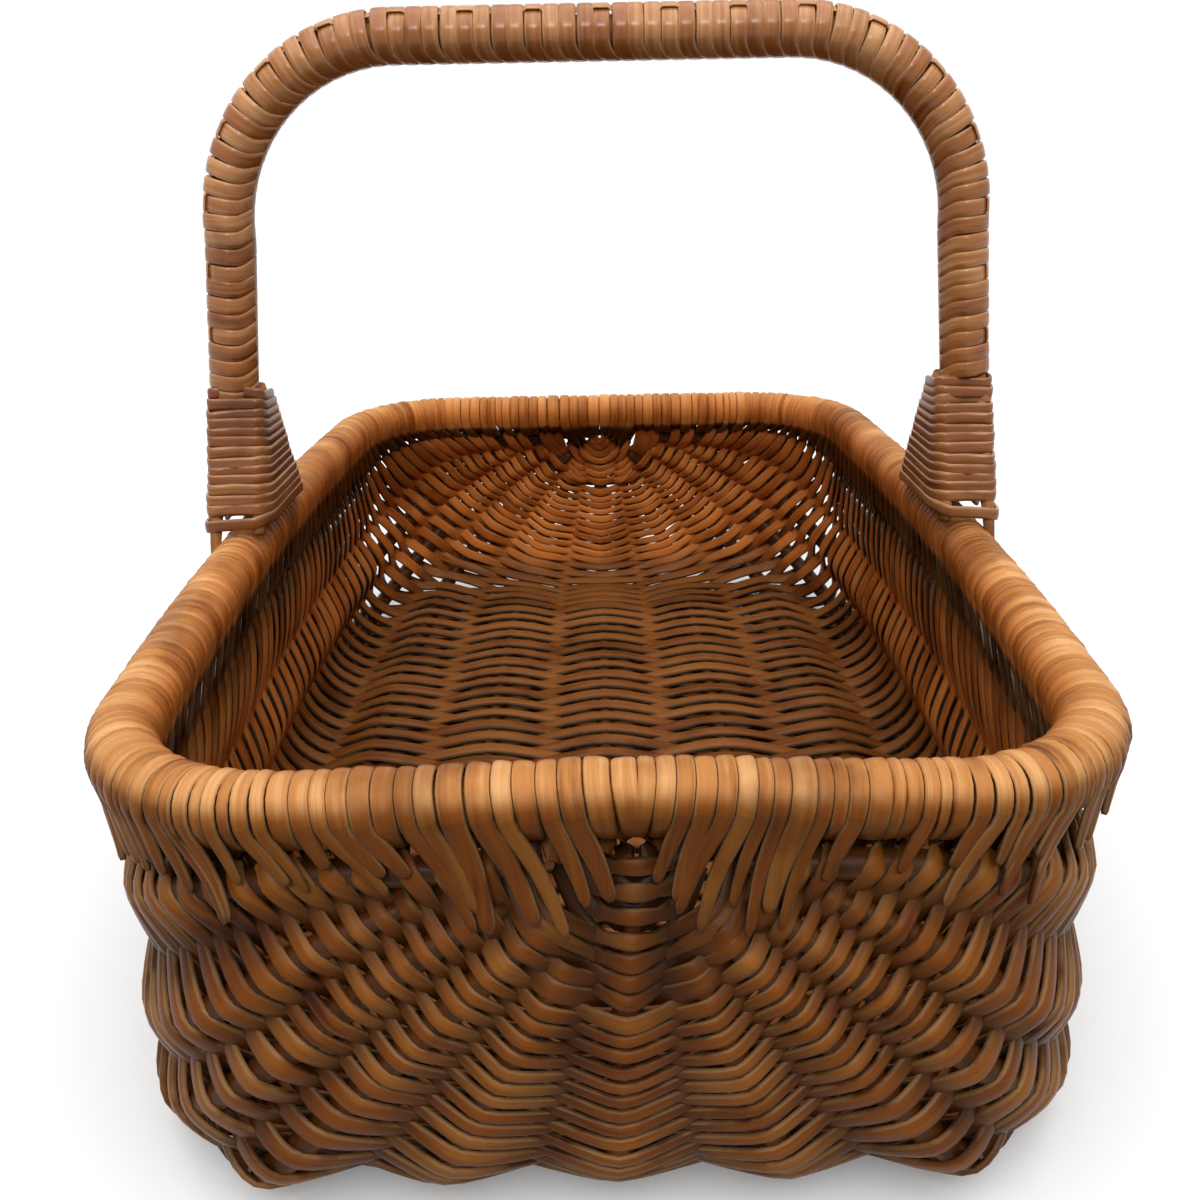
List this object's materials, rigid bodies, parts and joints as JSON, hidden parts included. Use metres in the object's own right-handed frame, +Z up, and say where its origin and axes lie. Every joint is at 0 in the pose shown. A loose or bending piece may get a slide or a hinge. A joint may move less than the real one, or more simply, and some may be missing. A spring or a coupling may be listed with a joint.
{
  "type": "splint basket",
  "caption": "Rectangular splint-woven basket on a round cane rib frame, with lapped rim and a fixed lapped bow handle across the middle.",
  "frame": {"origin": "middle of the base, on the surface that the basket stands on", "axes": "+Z up, +Y along the basket's length, +X across it, along the handle's span"},
  "size_m": [0.3654, 0.5366, 0.3581],
  "materials": {
    "rib_rod": "peeled round cane, dull, with fine lengthwise grain",
    "rim_rod": "bent round cane, dull",
    "weave_splint": "split cane, honey brown, half round, satin, with lengthwise grain and paler edges",
    "fan_splint": "split cane laid tight, mid brown, satin",
    "rim_splint": "split cane wraps, tan orange, satin",
    "handle_rod": "bent round cane, dull",
    "leader_splint": "flat split cane, satin",
    "handle_splint": "split cane lapping, warm tan, satin to slightly glossy",
    "stake_rod": "round cane, dull",
    "foot_splint": "split cane binding, mid brown, satin"
  },
  "bodies": {
    "root": {"rib_left_5": "rib_rod", "rib_left_4": "rib_rod", "rib_left_3": "rib_rod", "rib_left_2": "rib_rod", "rib_left_1": "rib_rod", "rib_middle": "rib_rod", "rib_right_1": "rib_rod", "rib_right_2": "rib_rod", "rib_right_3": "rib_rod", "rib_right_4": "rib_rod", "rib_right_5": "rib_rod", "rim_hoop": "rim_rod", "woven_course_01": "weave_splint", "woven_course_02": "weave_splint", "woven_course_03": "weave_splint", "woven_course_04": "weave_splint", "woven_course_05": "weave_splint", "woven_course_06": "weave_splint", "woven_course_07": "weave_splint", "woven_course_08": "weave_splint", "woven_course_09": "weave_splint", "woven_course_10": "weave_splint", "woven_course_11": "weave_splint", "woven_course_12": "weave_splint", "woven_course_13": "weave_splint", "woven_course_14": "weave_splint", "woven_course_15": "weave_splint", "fan_binding_front": "fan_splint", "fan_binding_back": "fan_splint", "rim_lashing_front": "rim_splint", "rim_lashing_back": "rim_splint", "handle_bow": "handle_rod", "handle_leader": "leader_splint", "handle_lapping": "handle_splint", "stake_left_outer_front": "stake_rod", "stake_left_outer_back": "stake_rod", "stake_left_inner_front": "stake_rod", "stake_left_inner_back": "stake_rod", "stake_right_outer_front": "stake_rod", "stake_right_outer_back": "stake_rod", "stake_right_inner_front": "stake_rod", "stake_right_inner_back": "stake_rod", "foot_winding_left": "foot_splint", "foot_winding_right": "foot_splint"}
  },
  "joints": []
}
